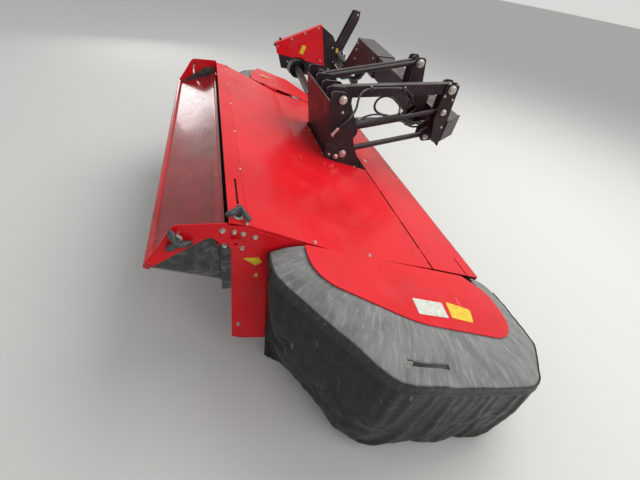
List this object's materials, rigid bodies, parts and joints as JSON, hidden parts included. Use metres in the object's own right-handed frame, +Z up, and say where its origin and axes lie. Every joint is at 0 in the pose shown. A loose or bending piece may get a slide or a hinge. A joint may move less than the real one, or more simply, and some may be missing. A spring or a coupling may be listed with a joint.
{
  "type": "disc mower conditioner",
  "caption": "Disc mower conditioner side unit with tined rotor, sheet deck, hinged guards and curtains, on a folding boom with its three-point headstock and drive shaft.",
  "frame": {"origin": "on the ground under the middle of the cutterbar, on the sole of the middle skid, below the disc axes", "axes": "+X runs along the cutterbar away from the headstock, +Y is the direction of travel, +Z is up"},
  "size_m": [5.942, 2.462, 1.36],
  "materials": {
    "red_enamel": "glossy red enamel on sheet steel, dusty and scratched at the rear",
    "anthracite_paint": "satin anthracite powder coat on steel weldments",
    "worn_rubber": "thick grey rubber skirt, chalky and worn",
    "coated_cloth": "black coated cloth curtain, wrinkled and muddy at the hem",
    "grey_rubber": "grey green rubber apron",
    "chromed_rod": "ground and chromed cylinder rod",
    "worn_steel": "wear steel polished by crop and soil",
    "zinc_steel": "zinc plated and yellow passivated steel of pins and fittings",
    "hose_rubber": "smooth black synthetic rubber of hydraulic hoses",
    "black_plastic": "black moulded plastic"
  },
  "bodies": {
    "headstock": {"headstock_frame": "anthracite_paint", "boom_forks": "anthracite_paint", "hitch_mast": "anthracite_paint", "fold_anchor": "anthracite_paint", "headstock_gearbox": "anthracite_paint", "drive_cover": "red_enamel", "drive_cone": "black_plastic"},
    "boom": {"boom_inner": "anthracite_paint", "boom_outer": "anthracite_paint", "boom_end": "anthracite_paint", "top_link": "anthracite_paint", "lift_arm": "anthracite_paint", "lower_links": "anthracite_paint", "float_cylinder": "anthracite_paint", "hose_float": "hose_rubber", "hose_foot": "hose_rubber", "hose_gland": "hose_rubber", "hose_fittings": "zinc_steel", "tower": "anthracite_paint", "tower_back": "anthracite_paint", "tower_pins": "zinc_steel", "main_beam": "anthracite_paint", "deck_rear": "red_enamel", "deck_middle": "red_enamel", "wall_near": "red_enamel", "wall_far": "red_enamel", "conditioning_plate": "anthracite_paint", "cutterbar": "anthracite_paint", "skids": "worn_steel", "mower_gearbox": "anthracite_paint", "guard_far": "red_enamel", "band_far": "worn_rubber", "curtain_far": "coated_cloth"},
    "stand_near": {"stand_near": "anthracite_paint"},
    "stand_far": {"stand_far": "anthracite_paint"},
    "fold_barrel": {"fold_barrel": "anthracite_paint"},
    "fold_rod": {"fold_rod": "chromed_rod"},
    "shaft_tube": {"shaft_tube": "black_plastic"},
    "shaft_rod": {"shaft_rod": "black_plastic"},
    "front_flap": {"front_flap": "red_enamel", "front_apron": "grey_rubber"},
    "hood": {"hood": "red_enamel"},
    "swath_board_near": {"swath_board_near": "black_plastic"},
    "swath_board_far": {"swath_board_far": "black_plastic"},
    "conditioner_rotor": {"conditioner_rotor": "anthracite_paint"},
    "guard": {"guard_near": "red_enamel", "band_near": "worn_rubber", "curtain_near": "coated_cloth"},
    "disc_1": {"disc_1": "worn_steel"},
    "disc_2": {"disc_2": "worn_steel"},
    "disc_3": {"disc_3": "worn_steel"},
    "disc_4": {"disc_4": "worn_steel"},
    "disc_5": {"disc_5": "worn_steel"},
    "disc_6": {"disc_6": "worn_steel"},
    "disc_7": {"disc_7": "worn_steel"}
  },
  "joints": [
    {"name": "boom_fold", "type": "hinge", "parent": "headstock", "child": "boom", "pos_m": [-2.73, 0.895, 0.655], "axis": [0, -1, 0], "range_deg": [0, 88]},
    {"name": "fold_barrel_swing", "type": "hinge", "parent": "headstock", "child": "fold_barrel", "pos_m": [-3.25, 0.895, 0.775], "axis": [0, -1, 0], "range_deg": [0, 19.6]},
    {"name": "fold_rod_slide", "type": "slide", "parent": "fold_barrel", "child": "fold_rod", "axis": [0.9947, 0, -0.1028], "range_m": [-0.26, 0]},
    {"name": "shaft_swing", "type": "hinge", "parent": "headstock", "child": "shaft_tube", "pos_m": [-2.93, 0.24, 0.56], "axis": [0, -1, 0], "range_deg": [0, 76.2]},
    {"name": "shaft_slide", "type": "slide", "parent": "shaft_tube", "child": "shaft_rod", "axis": [0.9985, -0.027, -0.0472], "range_m": [-0.062, 0]},
    {"name": "front_flap_lift", "type": "hinge", "parent": "boom", "child": "front_flap", "pos_m": [0, 0.166, 0.624], "axis": [1, 0, 0], "range_deg": [0, 35]},
    {"name": "guard_fold", "type": "hinge", "parent": "boom", "child": "guard", "pos_m": [1.19, -0.00451, 0.67517], "axis": [0, -0.9568, 0.2907], "range_deg": [0, 90]},
    {"name": "hood_tilt", "type": "hinge", "parent": "boom", "child": "hood", "pos_m": [0, -0.875, 0.885], "axis": [-1, 0, 0], "range_deg": [0, 20]},
    {"name": "swath_board_near_swing", "type": "hinge", "parent": "boom", "child": "swath_board_near", "pos_m": [1.153, -0.92, 0.74], "axis": [0, 0, -1], "range_deg": [0, 40]},
    {"name": "swath_board_far_swing", "type": "hinge", "parent": "boom", "child": "swath_board_far", "pos_m": [-1.153, -0.92, 0.74], "axis": [0, 0, 1], "range_deg": [0, 40]},
    {"name": "rotor_spin", "type": "hinge", "parent": "boom", "child": "conditioner_rotor", "pos_m": [0, -0.5, 0.45], "axis": [1, 0, 0], "continuous": true},
    {"name": "disc_1_spin", "type": "hinge", "parent": "boom", "child": "disc_1", "pos_m": [-1.26, 0, 0.1], "axis": [0, 0, 1], "continuous": true},
    {"name": "disc_2_spin", "type": "hinge", "parent": "boom", "child": "disc_2", "pos_m": [-0.84, 0, 0.1], "axis": [0, 0, 1], "continuous": true},
    {"name": "disc_3_spin", "type": "hinge", "parent": "boom", "child": "disc_3", "pos_m": [-0.42, 0, 0.1], "axis": [0, 0, 1], "continuous": true},
    {"name": "disc_4_spin", "type": "hinge", "parent": "boom", "child": "disc_4", "pos_m": [0, 0, 0.1], "axis": [0, 0, 1], "continuous": true},
    {"name": "disc_5_spin", "type": "hinge", "parent": "boom", "child": "disc_5", "pos_m": [0.42, 0, 0.1], "axis": [0, 0, 1], "continuous": true},
    {"name": "disc_6_spin", "type": "hinge", "parent": "boom", "child": "disc_6", "pos_m": [0.84, 0, 0.1], "axis": [0, 0, 1], "continuous": true},
    {"name": "disc_7_spin", "type": "hinge", "parent": "boom", "child": "disc_7", "pos_m": [1.26, 0, 0.1], "axis": [0, 0, 1], "continuous": true},
    {"name": "stand_near_lift", "type": "slide", "parent": "headstock", "child": "stand_near", "axis": [0, 0, 1], "range_m": [0, 0.32]},
    {"name": "stand_far_lift", "type": "slide", "parent": "headstock", "child": "stand_far", "axis": [0, 0, 1], "range_m": [0, 0.32]}
  ],
  "couplings": [
    {"joint": "fold_barrel_swing", "follows": "boom_fold", "ratio": 0.22166},
    {"joint": "fold_rod_slide", "follows": "boom_fold", "m_per_rad": -0.16914},
    {"joint": "shaft_swing", "follows": "boom_fold", "ratio": 0.86416},
    {"joint": "shaft_slide", "follows": "boom_fold", "m_per_rad": -0.034648},
    {"joint": "disc_2_spin", "follows": "disc_1_spin", "ratio": -1},
    {"joint": "disc_3_spin", "follows": "disc_1_spin", "ratio": 1},
    {"joint": "disc_4_spin", "follows": "disc_1_spin", "ratio": -1},
    {"joint": "disc_5_spin", "follows": "disc_1_spin", "ratio": 1},
    {"joint": "disc_6_spin", "follows": "disc_1_spin", "ratio": -1},
    {"joint": "disc_7_spin", "follows": "disc_1_spin", "ratio": 1}
  ]
}
